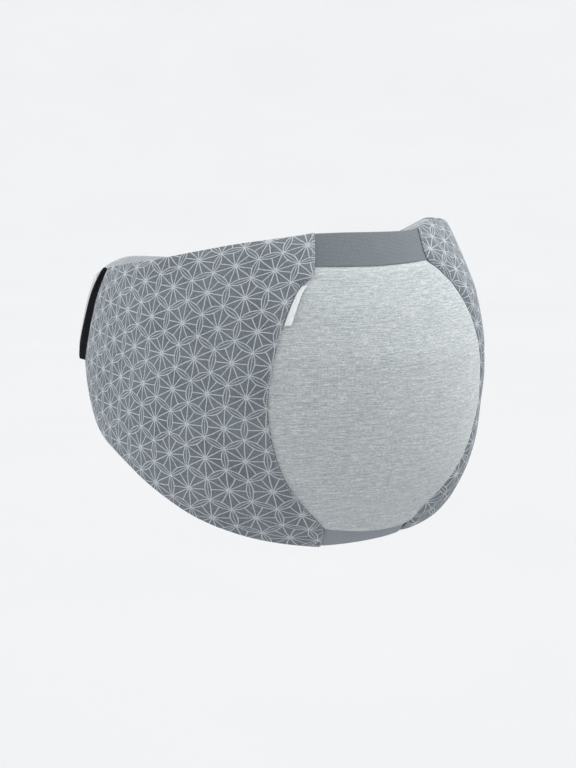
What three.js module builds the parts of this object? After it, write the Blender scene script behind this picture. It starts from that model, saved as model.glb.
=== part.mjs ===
// Maternity support belt in its worn form: a stretch pouch over the belly, two padded wings round the
// hips, and a soft back panel that a hook tab on the wearer's right wing grips. Millimetres, +Z up,
// the wearer faces -Y and has the left side at +X. The origin is on the torso's axis at mid-height.
//
// Every piece follows one body form. A place on it is an angle round the torso in degrees, 0 at the
// front and positive to the wearer's left, and a height as a share of the belt's front height. A piece
// is a patch of that form with a wall between two distances outside it.
import * as THREE from 'three';

// Driving dimensions of the body that the belt fits
const bodyWidth = 343;
const bellyDepth = 159;
const backDepth = 186;
const frontHeight = 264;

// Walls, measured outwards from the body
const clothWall = 1.6;
const layerGap = 0.5;
const wingEdge = 2.2;
const wingPadding = 4.2;
const tabWall = 2.0;
const tagWall = 0.9;

// Bands, laps and gaps
const upperBandHeight = 28;
const lowerBandHeight = 19.5;
const seamLap = 8;
const closureLap = 18;
const edgeGap = 0.5;
const liningInset = 2.5;

// Hook tab and folded seam tag
const tabWidth = 29;
const tabLowerCorner = 6;
const tabUpperCorner = 26;
const tagGap = 0.8;
const tagReach = 6.5;
const tagTopReach = 4.4;
const tagLift = 1.1;

// Body sections: height as a share of frontHeight, then shares of half bodyWidth, bellyDepth and backDepth
const bodySections = [
  { height: -0.5, width: 0.813, belly: 0.638, back: 0.89 },
  { height: -0.3, width: 0.933, belly: 0.887, back: 0.935 },
  { height: -0.1, width: 0.977, belly: 0.987, back: 0.985 },
  { height: 0.1, width: 1.0, belly: 1.0, back: 1.0 },
  { height: 0.2, width: 0.99, belly: 0.962, back: 0.952 },
  { height: 0.3, width: 0.966, belly: 0.9, back: 0.88 },
  { height: 0.5, width: 0.851, belly: 0.717, back: 0.78 },
];

// The seams between the pouch and the wings. The upper band sits a little askew, so they differ there.
const seamLines = [
  { height: -0.5, right: 18.5, left: 17 },
  { height: -0.42, right: 20.5, left: 18.2 },
  { height: -0.38, right: 25, left: 22.3 },
  { height: -0.33, right: 30.5, left: 28.4 },
  { height: -0.25, right: 36.5, left: 35.5 },
  { height: -0.15, right: 40.5, left: 40.3 },
  { height: -0.03, right: 42.4, left: 42 },
  { height: 0.1, right: 41, left: 40.2 },
  { height: 0.22, right: 37.3, left: 35.7 },
  { height: 0.32, right: 32.4, left: 29.2 },
  { height: 0.37, right: 28.5, left: 24 },
  { height: 0.405, right: 25, left: 19.5 },
  { height: 0.5, right: 22.6, left: 22 },
];

// The wings' lower edges, from the lower band round the hip to the closure
const rightLowerEdge = [
  { along: 0, angle: 18.5, height: -0.489 },
  { along: 0.19, angle: 43, height: -0.445 },
  { along: 0.36, angle: 63, height: -0.383 },
  { along: 0.52, angle: 79.5, height: -0.299 },
  { along: 0.67, angle: 94, height: -0.216 },
  { along: 0.82, angle: 107.5, height: -0.136 },
  { along: 0.92, angle: 113, height: -0.03 },
  { along: 1, angle: 115, height: 0.065 },
];
const leftLowerEdge = [
  { along: 0, angle: 17.1, height: -0.489 },
  { along: 0.19, angle: 43, height: -0.437 },
  { along: 0.36, angle: 63, height: -0.383 },
  { along: 0.52, angle: 79.5, height: -0.3 },
  { along: 0.67, angle: 94, height: -0.216 },
  { along: 0.82, angle: 107.5, height: -0.136 },
  { along: 0.92, angle: 113, height: -0.03 },
  { along: 1, angle: 115, height: 0.065 },
];

// The upper edges: the right wing falls evenly to the back, the left one stands up over the hip
const rightUpperEdge = [
  { along: 0, angle: 22.6, height: 0.505 },
  { along: 0.16, angle: 36, height: 0.49 },
  { along: 0.33, angle: 50, height: 0.474 },
  { along: 0.5, angle: 64, height: 0.451 },
  { along: 0.66, angle: 78, height: 0.426 },
  { along: 0.82, angle: 92, height: 0.404 },
  { along: 1, angle: 108.6, height: 0.368 },
];
const leftUpperEdge = [
  { along: 0, angle: 22, height: 0.505 },
  { along: 0.12, angle: 33, height: 0.52 },
  { along: 0.25, angle: 45, height: 0.508 },
  { along: 0.4, angle: 58, height: 0.5 },
  { along: 0.57, angle: 73, height: 0.498 },
  { along: 0.72, angle: 86, height: 0.49 },
  { along: 0.87, angle: 98, height: 0.448 },
  { along: 1, angle: 109, height: 0.4 },
];

// The wings' back edges, from the lower corner up
const rightBackEdge = [
  { along: 0, angle: 115, height: 0.065 },
  { along: 0.2, angle: 112.2, height: 0.12 },
  { along: 0.5, angle: 111, height: 0.21 },
  { along: 0.8, angle: 110.2, height: 0.302 },
  { along: 1, angle: 108.6, height: 0.368 },
];
const leftBackEdge = [
  { along: 0, angle: 115, height: 0.065 },
  { along: 0.5, angle: 112, height: 0.23 },
  { along: 1, angle: 109, height: 0.4 },
];

// The back panel's edges between its two ends, across the back
const backUpperEdge = [
  { along: 0.15, angle: 125, height: 0.377 },
  { along: 0.35, angle: 152, height: 0.354 },
  { along: 0.52, angle: 180, height: 0.35 },
  { along: 0.68, angle: 206, height: 0.372 },
  { along: 0.76, angle: 219, height: 0.36 },
  { along: 0.86, angle: 234, height: 0.305 },
];
const backLowerEdge = [
  { along: 0.15, angle: 125, height: 0.1 },
  { along: 0.5, angle: 180, height: 0.095 },
  { along: 0.85, angle: 235, height: 0.095 },
];
const backEnds = { left: { low: 0.27, high: 0.93 }, right: { low: 0.27, high: 0.76 } };

const degree = Math.PI / 180;
const lerp = THREE.MathUtils.lerp;

// Smooth curve through a table's rows: the value of one column where another column has a given value
function smooth(rows, by, column, x) {
  const last = rows.length - 1;
  let i = 0;
  while (i < last - 1 && rows[i + 1][by] < x) i += 1;
  const slope = (a, b) => (rows[b][column] - rows[a][column]) / (rows[b][by] - rows[a][by]);
  const tangent = (k) => slope(Math.max(k - 1, 0), Math.min(k + 1, last));
  const step = rows[i + 1][by] - rows[i][by];
  const t = (x - rows[i][by]) / step;
  if (t < 0) return rows[0][column] + t * step * tangent(0);
  if (t > 1) return rows[last][column] + (t - 1) * step * tangent(last);
  const rise = t * t * (3 - 2 * t);
  const leave = t * (1 - t) * (1 - t) * step * tangent(i);
  const arrive = t * t * (t - 1) * step * tangent(i + 1);
  return lerp(rows[i][column], rows[i + 1][column], rise) + leave + arrive;
}

const edge = (rows) => (along) => ({
  angle: smooth(rows, 'along', 'angle', along),
  height: smooth(rows, 'along', 'height', along),
});

const seamAngle = (name, height) => smooth(seamLines, 'height', name, height);

// A point on the body
function bodyPoint({ angle, height }) {
  const column = (name) => smooth(bodySections, 'height', name, height);
  const across = Math.sin(angle * degree);
  const forward = Math.cos(angle * degree);
  const depth = forward > 0 ? column('belly') * bellyDepth : column('back') * backDepth;
  return new THREE.Vector3(
    (across * column('width') * bodyWidth) / 2,
    -forward * depth,
    height * frontHeight,
  );
}

// The body's outward direction there
function bodyNormal({ angle, height }) {
  const step = { angle: 0.5, height: 0.002 };
  const aside = (sign) => bodyPoint({ angle: angle + sign * step.angle, height });
  const above = (sign) => bodyPoint({ angle, height: height + sign * step.height });
  const round = aside(1).sub(aside(-1));
  const up = above(1).sub(above(-1));
  return round.cross(up).normalize();
}

// Degrees round the body that a length in millimetres takes up there
function degreesFor(length, { angle, height }) {
  const chord = bodyPoint({ angle: angle + 0.5, height }).distanceTo(
    bodyPoint({ angle: angle - 0.5, height }),
  );
  return length / chord;
}

const shifted = (place, length) => ({
  angle: place.angle + degreesFor(length, place),
  height: place.height,
});

const between = (a, b, t) => ({
  angle: lerp(a.angle, b.angle, t),
  height: lerp(a.height, b.height, t),
});

// A patch inside four edges: start and end run upwards, lower and upper run from start to end
function patchInside({ start, end, lower, upper }) {
  return (u, v) => {
    const sides = between(start(v), end(v), u);
    const levels = between(lower(u), upper(u), v);
    const corners = between(between(start(0), end(0), u), between(start(1), end(1), u), v);
    return {
      angle: sides.angle + levels.angle - corners.angle,
      height: sides.height + levels.height - corners.height,
    };
  };
}

// Length of a patch's row, round the body
function rowLength(patch, v) {
  const steps = 12;
  let length = 0;
  for (let i = 0; i < steps; i += 1) {
    const here = bodyPoint(patch(i / steps, v));
    length += here.distanceTo(bodyPoint(patch((i + 1) / steps, v)));
  }
  return length;
}

// A closed wall over a patch, from the distance inner to the distance outer outside the body. The patch
// takes shares from 0 to 1, the first along a row and the second up a column.
function wall({ patch, columns, rows, inner, outer, side = 1 }) {
  const positions = [];
  const indices = [];
  const layer = (columns + 1) * (rows + 1);
  for (const distance of [inner, outer]) {
    for (let j = 0; j <= rows; j += 1) {
      for (let i = 0; i <= columns; i += 1) {
        const u = i / columns;
        const v = j / rows;
        const place = patch(u, v);
        const point = bodyPoint(place).addScaledVector(bodyNormal(place), distance(u, v));
        positions.push(side * point.x, point.y, point.z);
      }
    }
  }
  const quad = (a, b, c, d) => {
    indices.push(...(side > 0 ? [a, b, c, a, c, d] : [a, c, b, a, d, c]));
  };
  const at = (i, j) => j * (columns + 1) + i;
  for (let j = 0; j < rows; j += 1) {
    for (let i = 0; i < columns; i += 1) {
      const [a, b, c, d] = [at(i, j), at(i + 1, j), at(i + 1, j + 1), at(i, j + 1)];
      quad(a, d, c, b);
      quad(layer + a, layer + b, layer + c, layer + d);
    }
  }
  const rim = [];
  for (let i = 0; i < columns; i += 1) rim.push(at(i, 0));
  for (let j = 0; j < rows; j += 1) rim.push(at(columns, j));
  for (let i = columns; i > 0; i -= 1) rim.push(at(i, rows));
  for (let j = rows; j > 0; j -= 1) rim.push(at(0, j));
  rim.forEach((a, k) => {
    const b = rim[(k + 1) % rim.length];
    quad(a, b, layer + b, layer + a);
  });
  const geometry = new THREE.BufferGeometry();
  geometry.setAttribute('position', new THREE.Float32BufferAttribute(positions, 3));
  geometry.setIndex(indices);
  geometry.computeVertexNormals();
  return geometry;
}

const belt = new THREE.Group();

function addPiece(name, geometry, material) {
  const mesh = new THREE.Mesh(geometry, material);
  mesh.name = name;
  belt.add(mesh);
}

const cloth = (color) => new THREE.MeshStandardMaterial({ color, roughness: 0.9, metalness: 0 });

const level = (distance) => () => distance;
const onCloth = clothWall + layerGap;

// Where the front begins and ends, as shares of its height
const beltFoot = -0.489;
const beltTop = 0.505;
const span = beltTop - beltFoot;
const share = (length) => length / frontHeight / span;

// Row lines that all the sewn pieces share, so that their facets stay parallel: the lining's hem and the
// band's inner edge at each end, and an even run over the pouch between them
const pouchRows = 16;
const lowerRows = [0, share(liningInset), share(lowerBandHeight)];
const upperRows = [1 - share(upperBandHeight), 1 - share(liningInset), 1];
const rowLines = [...lowerRows];
for (let j = 1; j < pouchRows; j += 1) rowLines.push(lerp(lowerRows[2], upperRows[0], j / pouchRows));
rowLines.push(...upperRows);
const lastRow = rowLines.length - 1;

// A wing's front edge is the seam line. Its name is the wearer's side, and angles on the right are
// counted from the front as on the left until the wall is mirrored.
const wingFront = (name, v) => {
  const height = beltFoot + span * v;
  return { angle: seamAngle(name, height), height };
};

// The front pieces run under both wings by the seam lap, and the linings begin just behind them
const frontHem = (name, v) => shifted(wingFront(name, v), seamLap);
const liningHem = (name, v) => shifted(wingFront(name, v), seamLap + edgeGap);

function frontPiece({ from, to, columns, gap = 0 }) {
  const patch = (u, v) => {
    const trim = share(gap) * ((v === 0) - (v === 1));
    const row = rowLines[Math.round(lerp(from, to, v))] + trim;
    const { angle, height } = frontHem('left', row);
    return { angle: lerp(-frontHem('right', row).angle, angle, u), height };
  };
  return wall({ patch, columns, rows: to - from, inner: level(0), outer: level(clothWall) });
}

const pouchEnds = { from: 2, to: lastRow - 2 };
addPiece('belly_panel', frontPiece({ ...pouchEnds, columns: 24, gap: edgeGap }), cloth('#a9aeb1'));
addPiece('upper_band', frontPiece({ from: lastRow - 2, to: lastRow, columns: 16 }), cloth('#828990'));
addPiece('lower_band', frontPiece({ from: 0, to: 2, columns: 16 }), cloth('#828a8f'));

// An edge that leaves from the lining's hem, where its table leaves from the seam
function edgeFromHem(name, rows, end) {
  const corner = liningHem(name, end);
  const seam = wingFront(name, end);
  const skipped = (corner.angle - seam.angle) / (rows[rows.length - 1].angle - seam.angle);
  const first = edge(rows)(skipped);
  return (u) => {
    const place = edge(rows)(lerp(skipped, 1, u));
    return {
      angle: place.angle + (corner.angle - first.angle) * (1 - u),
      height: place.height + (corner.height - first.height) * (1 - u),
    };
  };
}

const wingPatch = (name, lowerEdge, upperEdge, backEdge) =>
  patchInside({
    start: (v) => liningHem(name, v),
    end: edge(backEdge),
    lower: edgeFromHem(name, lowerEdge, 0),
    upper: edgeFromHem(name, upperEdge, 1),
  });

const rightWing = wingPatch('right', rightLowerEdge, rightUpperEdge, rightBackEdge);
const leftWing = wingPatch('left', leftLowerEdge, leftUpperEdge, leftBackEdge);

// Foam fills a wing soon behind its sewn edges
const padding = (u, v) => (wingPadding - wingEdge) * Math.max(16 * u * (1 - u) * v * (1 - v), 0) ** 0.4;

// Where the lining behind a wing ends along a row of the patch
const liningEnd = (wing, row) => 1 - (closureLap + edgeGap) / rowLength(wing, row);

// The wing has the lining's columns and one more at each end, to the seam and to its back edge
const liningColumns = 18;
const wingColumns = liningColumns + 2;

function wingWall(name, wing, side) {
  const rowAt = (v) => rowLines[Math.round(v * lastRow)];
  const along = (u, row) => {
    if (u === 1) return 1;
    return ((u * wingColumns - 1) / liningColumns) * liningEnd(wing, row);
  };
  const patch = (u, v) => {
    const row = rowAt(v);
    return u === 0 ? wingFront(name, row) : wing(along(u, row), row);
  };
  return wall({
    patch,
    side,
    columns: wingColumns,
    rows: lastRow,
    inner: level(onCloth),
    outer: (u, v) => onCloth + wingEdge + padding(u, rowAt(v)),
  });
}

addPiece('side_panel_right', wingWall('right', rightWing, -1), cloth('#7e858b'));
addPiece('side_panel_left', wingWall('left', leftWing, 1), cloth('#949c9f'));

// A lining lies behind its wing, from the front pieces' hidden edge to the back panel's
function liningWall(wing, side) {
  const patch = (u, v) => {
    const row = rowLines[Math.round(lerp(1, lastRow - 1, v))];
    return wing(u * liningEnd(wing, row), row);
  };
  return wall({
    patch,
    side,
    columns: liningColumns,
    rows: lastRow - 2,
    inner: level(0),
    outer: level(clothWall),
  });
}

addPiece('lining_right', liningWall(rightWing, -1), cloth('#babec2'));
addPiece('lining_left', liningWall(leftWing, 1), cloth('#babec2'));

// The back panel starts under the left wing's back edge and ends under the right wing's
function lappedEnd(wing, { low, high }) {
  return (v) => {
    const row = lerp(low, high, v);
    return wing(1 - closureLap / rowLength(wing, row), row);
  };
}

const panelStart = lappedEnd(leftWing, backEnds.left);
const panelEnd = (v) => {
  const { angle, height } = lappedEnd(rightWing, backEnds.right)(v);
  return { angle: 360 - angle, height };
};
const acrossBack = (rows, v) => [
  { along: 0, ...panelStart(v) },
  ...rows,
  { along: 1, ...panelEnd(v) },
];

addPiece(
  'back_panel',
  wall({
    patch: patchInside({
      start: panelStart,
      end: panelEnd,
      lower: edge(acrossBack(backLowerEdge, 0)),
      upper: edge(acrossBack(backUpperEdge, 1)),
    }),
    columns: 34,
    rows: 6,
    inner: level(0),
    outer: level(clothWall),
  }),
  cloth('#b4b8bc'),
);

// The hook tab is sewn to the right wing's back edge and lies on the back panel, its free corners rounded
const tabEdge = edge(rightBackEdge);
const tabEnds = { low: 0.01, high: 0.99 };

function tabReach(v) {
  const foot = bodyPoint(tabEdge(tabEnds.low));
  const height = foot.distanceTo(bodyPoint(tabEdge(tabEnds.high)));
  const short = (radius, distance) => {
    const inside = Math.max(radius - distance, 0);
    return radius - Math.sqrt(radius * radius - inside * inside);
  };
  return tabWidth - short(tabLowerCorner, v * height) - short(tabUpperCorner, (1 - v) * height);
}

const tabPatch = (u, step) => {
  const v = 0.5 - 0.5 * Math.cos(Math.PI * step);
  const sewn = tabEdge(lerp(tabEnds.low, tabEnds.high, v));
  return shifted(sewn, lerp(edgeGap, tabReach(v), u));
};

addPiece(
  'hook_tab',
  wall({
    patch: tabPatch,
    side: -1,
    columns: 5,
    rows: 14,
    inner: level(onCloth),
    outer: level(onCloth + tabWall),
  }),
  cloth('#15151a'),
);

// The folded tag stands out of the right seam over the pouch, a little lifted at its free edge
const tagEnds = { low: 0.238, high: 0.358 };

const tagPatch = (u, v) => {
  const height = lerp(tagEnds.low, tagEnds.high, v);
  const sewn = { angle: seamAngle('right', height), height };
  const reach = lerp(tagReach, tagTopReach, v);
  return shifted(sewn, -lerp(reach, tagGap, u));
};

const tagFoot = (u) => onCloth + tagLift * (1 - u) ** 2;

addPiece(
  'seam_tag',
  wall({
    patch: tagPatch,
    side: -1,
    columns: 3,
    rows: 6,
    inner: tagFoot,
    outer: (u) => tagFoot(u) + tagWall,
  }),
  cloth('#eef1f3'),
);

export default belt;
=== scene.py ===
# Maternity support belt in its worn form. Metres, +Z up, the pouch towards -Y, the wearer's left at +X.
import math

import bpy
import numpy as np
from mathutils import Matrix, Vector


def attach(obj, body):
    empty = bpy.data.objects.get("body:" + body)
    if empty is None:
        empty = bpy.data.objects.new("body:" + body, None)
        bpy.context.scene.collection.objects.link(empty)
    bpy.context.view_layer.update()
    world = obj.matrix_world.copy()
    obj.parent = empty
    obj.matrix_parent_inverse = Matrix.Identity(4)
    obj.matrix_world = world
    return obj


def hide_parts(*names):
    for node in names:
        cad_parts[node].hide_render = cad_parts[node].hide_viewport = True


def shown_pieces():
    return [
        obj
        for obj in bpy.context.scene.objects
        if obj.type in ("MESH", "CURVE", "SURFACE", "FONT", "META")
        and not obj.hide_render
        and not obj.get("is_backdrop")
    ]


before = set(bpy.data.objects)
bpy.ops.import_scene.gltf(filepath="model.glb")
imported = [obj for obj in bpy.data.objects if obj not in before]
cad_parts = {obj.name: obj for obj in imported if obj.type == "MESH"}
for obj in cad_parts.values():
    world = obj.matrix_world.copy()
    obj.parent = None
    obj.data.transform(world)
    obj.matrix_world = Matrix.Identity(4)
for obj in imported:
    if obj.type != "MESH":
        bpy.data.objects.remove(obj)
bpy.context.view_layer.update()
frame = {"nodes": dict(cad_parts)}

mm = 0.001
print("frame loaded:", ", ".join(frame["nodes"]))


# Colours, tables and nodes
def linear(hexColour):
    parts = [int(hexColour[i : i + 2], 16) / 255 for i in (1, 3, 5)]
    return tuple(c / 12.92 if c <= 0.04045 else ((c + 0.055) / 1.055) ** 2.4 for c in parts) + (1.0,)


# A table's columns by name
def rows(names, *values):
    return dict(zip(names.split(), np.array(values, float).T))


# A smooth curve through a table's rows: the value of one column where another column has a given value
def smooth(table, by, column, x):
    xs, ys = table[by], table[column]
    x = np.asarray(x, float)
    i = np.clip(np.searchsorted(xs, x) - 1, 0, len(xs) - 2)
    tangent = np.empty_like(ys)
    tangent[1:-1] = (ys[2:] - ys[:-2]) / (xs[2:] - xs[:-2])
    tangent[0] = (ys[1] - ys[0]) / (xs[1] - xs[0])
    tangent[-1] = (ys[-1] - ys[-2]) / (xs[-1] - xs[-2])
    step = xs[i + 1] - xs[i]
    t = (x - xs[i]) / step
    inside = np.clip(t, 0, 1)
    rise = inside * inside * (3 - 2 * inside)
    leave = inside * (1 - inside) ** 2 * step * tangent[i]
    arrive = inside * inside * (inside - 1) * step * tangent[i + 1]
    beyond = np.maximum(t - 1, 0) * step * tangent[i + 1] + np.minimum(t, 0) * step * tangent[i]
    return ys[i] + (ys[i + 1] - ys[i]) * rise + leave + arrive + beyond


# A new object in the scene, for a mesh, a camera or a light
def inScene(name, data):
    made = bpy.data.objects.new(name, data)
    bpy.context.scene.collection.objects.link(made)
    return made


# Adds a node with its settings and links. A value is a number, a socket or a node, whose first output counts.
def add(tree, kind, values=None, **settings):
    made = tree.nodes.new(kind if "Node" in kind else "ShaderNode" + kind)
    for name, value in settings.items():
        setattr(made, name, value)
    for key, value in (values or {}).items():
        if isinstance(value, bpy.types.Node):
            value = value.outputs[0]
        if isinstance(value, bpy.types.NodeSocket):
            tree.links.new(value, made.inputs[key])
        else:
            made.inputs[key].default_value = value
    return made


# The body that the belt fits, the same form as the CAD's
body = {"width": 343 * mm, "bellyDepth": 159 * mm, "backDepth": 186 * mm, "frontHeight": 264 * mm}

# Height as a share of frontHeight, then shares of half the width and of the two depths
bodySections = rows(
    "height width belly back",
    (-0.5, 0.813, 0.638, 0.89),
    (-0.3, 0.933, 0.887, 0.935),
    (-0.1, 0.977, 0.987, 0.985),
    (0.1, 1.0, 1.0, 1.0),
    (0.2, 0.99, 0.962, 0.952),
    (0.3, 0.966, 0.9, 0.88),
    (0.5, 0.851, 0.717, 0.78),
)


# Angles are degrees round the torso, 0 in front and positive to the wearer's left
def bodyPoint(angle, height):
    turn = np.radians(angle)
    forward = np.cos(turn)
    width, belly, back = (smooth(bodySections, "height", c, height) for c in ("width", "belly", "back"))
    depth = np.where(forward > 0, belly * body["bellyDepth"], back * body["backDepth"])
    x = np.sin(turn) * width * body["width"] / 2
    return np.stack([x, -forward * depth, height * body["frontHeight"] + 0 * turn], -1)


def unit(vectors):
    return vectors / np.linalg.norm(vectors, axis=-1, keepdims=True)


def bodyNormal(angle, height):
    roundStep, upStep = 0.5, 0.002
    aside = bodyPoint(angle + roundStep, height) - bodyPoint(angle - roundStep, height)
    above = bodyPoint(angle, height + upStep) - bodyPoint(angle, height - upStep)
    return unit(np.cross(aside, above))


# How many degrees round the body a length takes at a place
def degreesFor(length, angle, height):
    return length / np.linalg.norm(bodyPoint(angle + 0.5, height) - bodyPoint(angle - 0.5, height), axis=-1)


# Arc lengths on the body to a place: round from the front at its own height, and up from mid-height
def flatPlace(angle, height):
    share = np.linspace(0, 1, 25)
    angle, height = np.broadcast_arrays(angle, height)
    aroundLine = bodyPoint(angle[..., None] * share, height[..., None] + 0 * share)
    upLine = bodyPoint(angle[..., None] + 0 * share, height[..., None] * share)
    around = np.linalg.norm(np.diff(aroundLine, axis=-2), axis=-1).sum(-1)
    up = np.linalg.norm(np.diff(upLine, axis=-2), axis=-1).sum(-1)
    return np.sign(angle) * around, np.sign(height) * up


# Shared layers and laps, measured outwards from the body
layers = {
    "jersey": (0.1 * mm, 1.3 * mm),
    "lining": (0.1 * mm, 1.5 * mm),
    "wingInner": 2.15 * mm,
    "seamLap": 8 * mm,
    "edgeGap": 0.5 * mm,
    "closureLap": 18 * mm,
    "lapRise": 3 * mm,  # the width over which front pieces come out from under the wings
}

# Seam lines between the pouch and the wings: degrees from the front to each side, by the height's share
seamLines = rows(
    "height right left",
    (-0.5, 18.5, 17),
    (-0.42, 20.5, 18.2),
    (-0.38, 25, 22.3),
    (-0.33, 30.5, 28.4),
    (-0.25, 36.5, 35.5),
    (-0.15, 40.5, 40.3),
    (-0.03, 42.4, 42),
    (0.1, 41, 40.2),
    (0.22, 37.3, 35.7),
    (0.32, 32.4, 29.2),
    (0.354, 29.5, 25.7),
    (0.373, 26.3, 23.7),
    (0.405, 24.8, 19.5),
    (0.5, 22.6, 22),
)
beltFoot, beltTop = -0.489, 0.505


def seamEdge(side, v):
    height = beltFoot + (beltTop - beltFoot) * v
    return smooth(seamLines, "height", side, height), height


def shifted(place, length):
    return place[0] + degreesFor(length, *place), place[1]


# A patch inside four edges: start and end run upwards, lower and upper run from start to end
def patchInside(start, end, lower, upper):
    def place(u, v):
        found = []
        for axis in (0, 1):
            sides = start(v)[axis] * (1 - u) + end(v)[axis] * u
            levels = lower(u)[axis] * (1 - v) + upper(u)[axis] * v
            foot = start(0 * v)[axis] * (1 - u) + end(0 * v)[axis] * u
            head = start(0 * v + 1)[axis] * (1 - u) + end(0 * v + 1)[axis] * u
            found.append(sides + levels - foot * (1 - v) - head * v)
        return tuple(found)

    return place


# An edge as a table of its own length's share, angle and height, and as a function of the share
def edgeRows(*values):
    return rows("along angle height", *values)


def edgeOf(table):
    return lambda along: (smooth(table, "along", "angle", along), smooth(table, "along", "height", along))


# Shares of a length that crowd at both ends, where an edge rolls over, and run evenly between
def crowded(length, step, roll):
    near = roll * np.array([0, 0.04, 0.15, 0.33, 0.6, 1.0])
    between = np.linspace(near[-1], length - near[-1], max(int(round((length - 2 * roll) / step)), 2) + 1)
    return np.concatenate([near[:-1], between, (length - near[:-1])[::-1]]) / length


def lengthsAlong(points, axis):
    steps = np.linalg.norm(np.diff(points, axis=axis), axis=-1)
    start = np.zeros_like(np.take(steps, [0], axis=axis))
    return np.concatenate([start, np.cumsum(steps, axis=axis)], axis=axis)


# The places of a piece on the body, with distances from its edges
def layOut(place, step, roll):
    shares = np.linspace(0, 1, 41)
    width = lengthsAlong(bodyPoint(*place(shares, 0 * shares + 0.5)), 0)[-1]
    height = lengthsAlong(bodyPoint(*place(0 * shares + 0.5, shares)), 0)[-1]
    u, v = np.meshgrid(crowded(width, step, roll), crowded(height, step, roll))
    angle, level = place(u, v)
    base = bodyPoint(angle, level)
    alongRow, alongColumn = lengthsAlong(base, 1), lengthsAlong(base, 0)
    lay = {"u": u, "v": v, "base": base, "normal": bodyNormal(angle, level)}
    lay["fromStart"], lay["fromEnd"] = alongRow, alongRow[:, -1:] - alongRow
    lay["fromFoot"], lay["fromTop"] = alongColumn, alongColumn[-1:] - alongColumn
    lay["fromSides"] = np.minimum(lay["fromStart"], lay["fromEnd"])
    lay["fromEnds"] = np.minimum(lay["fromFoot"], lay["fromTop"])
    lay["fromEdge"] = np.minimum(lay["fromSides"], lay["fromEnds"])
    lay["around"], lay["up"] = flatPlace(angle, level)
    return lay


# A quarter circle's rise over the roll's width
def rolled(distance, roll):
    return np.sqrt(np.clip(1 - (1 - np.clip(distance / roll, 0, 1)) ** 2, 0, 1))


# Slow unevenness of hand-laid cloth, from a few crossing waves, each shorter than the last
def uneven(lay, wave, seed, waves=6, shorter=0.23, most=3.5):
    turns = np.random.default_rng(seed).uniform(0, 2 * math.pi, (waves, 2))
    total = 0
    for k, (heading, phase) in enumerate(turns):
        across = lay["around"] * math.cos(heading) + lay["up"] * math.sin(heading)
        total = total + np.sin(across / wave * (1 + shorter * k) * 2 * math.pi + phase)
    return total / most


# 0 up to start and 1 from start + width, with a smooth rise between
def eased(distance, start, width):
    share = np.clip((distance - start) / width, 0, 1)
    return share * share * (3 - 2 * share)


# 1 at a place and nearly 0 a few widths away: a groove or a ridge along a line
def peak(distance, place, width):
    return np.exp(-(((distance - place) / width) ** 2))


# A closed cloth wall between two distances from the body, its edges rolled round
def clothPiece(name, lay, inner, outer, roll, side=1, endRoll=None):
    thickness = rolled(lay["fromSides"], roll) * rolled(lay["fromEnds"], endRoll or roll)
    middle, half = (outer + inner) / 2, (outer - inner) / 2 * thickness
    outside = lay["base"] + lay["normal"] * (middle + half)[..., None]
    inside = lay["base"] + lay["normal"] * (middle - half)[..., None]
    lay["outside"], lay["side"] = outside, side
    return shell(name, outside, inside, lay, side)


# A closed mesh between an outside and an inside grid of points, which meet at the rim. Side -1 mirrors it.
def shell(name, outside, inside, lay, side=1):
    levels, columns = outside.shape[:2]
    flip = np.array([side, 1, 1])
    index = np.arange(levels * columns).reshape(levels, columns)
    border = np.ones((levels, columns), bool)
    border[1:-1, 1:-1] = False
    under = index.copy()
    under[~border] = levels * columns + np.arange((~border).sum())
    points = np.concatenate([(outside * flip).reshape(-1, 3), (inside * flip)[~border]])

    def quads(ids):
        return np.stack([ids[:-1, :-1], ids[:-1, 1:], ids[1:, 1:], ids[1:, :-1]], -1).reshape(-1, 4)

    top, bottom = quads(index), quads(under)[:, ::-1]
    if side < 0:
        top, bottom = top[:, ::-1], bottom[:, ::-1]
    faces = np.concatenate([top, bottom])
    mesh = bpy.data.meshes.new(name)
    mesh.from_pydata(points.tolist(), [], faces.tolist())

    def perPoint(values):
        return np.concatenate([values.reshape(-1), values[~border]])

    corners = faces.reshape(-1)
    flat = np.stack([perPoint(lay["around"]), perPoint(lay["up"])], -1)
    mesh.uv_layers.new(name="flatCloth").data.foreach_set("uv", flat[corners].reshape(-1))
    if "star" in lay:
        printed = np.stack([perPoint(lay["star"]), perPoint(lay["row"])], -1)
        mesh.uv_layers.new(name="printLay").data.foreach_set("uv", printed[corners].reshape(-1))
    mesh.polygons.foreach_set("use_smooth", np.ones(len(faces), bool))
    sides = np.concatenate([np.zeros(len(top), int), np.ones(len(bottom), int)])
    mesh.polygons.foreach_set("material_index", sides)
    mesh.update()
    return inScene(name, mesh)


# The outside's material, and the inside's where it is another
def dress(piece, outsideMaterial, insideMaterial=None):
    piece.data.materials.append(outsideMaterial)
    piece.data.materials.append(insideMaterial or outsideMaterial)


# Materials
def newMaterial(name):
    material = bpy.data.materials.new(name)
    material.use_nodes = True
    material.node_tree.nodes.clear()
    return material, material.node_tree


onePerUnit = 0.314  # the wave scale that gives one band for each repeat of a pattern


# Places on the flat cloth, counted in the sizes that a pattern repeats by
def clothLay(tree, across, up, start=(0, 0, 0)):
    flat = add(tree, "UVMap", uv_map="flatCloth")
    return add(tree, "Mapping", {"Vector": flat, "Location": start, "Scale": (1 / across, 1 / up, 1)})


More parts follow.
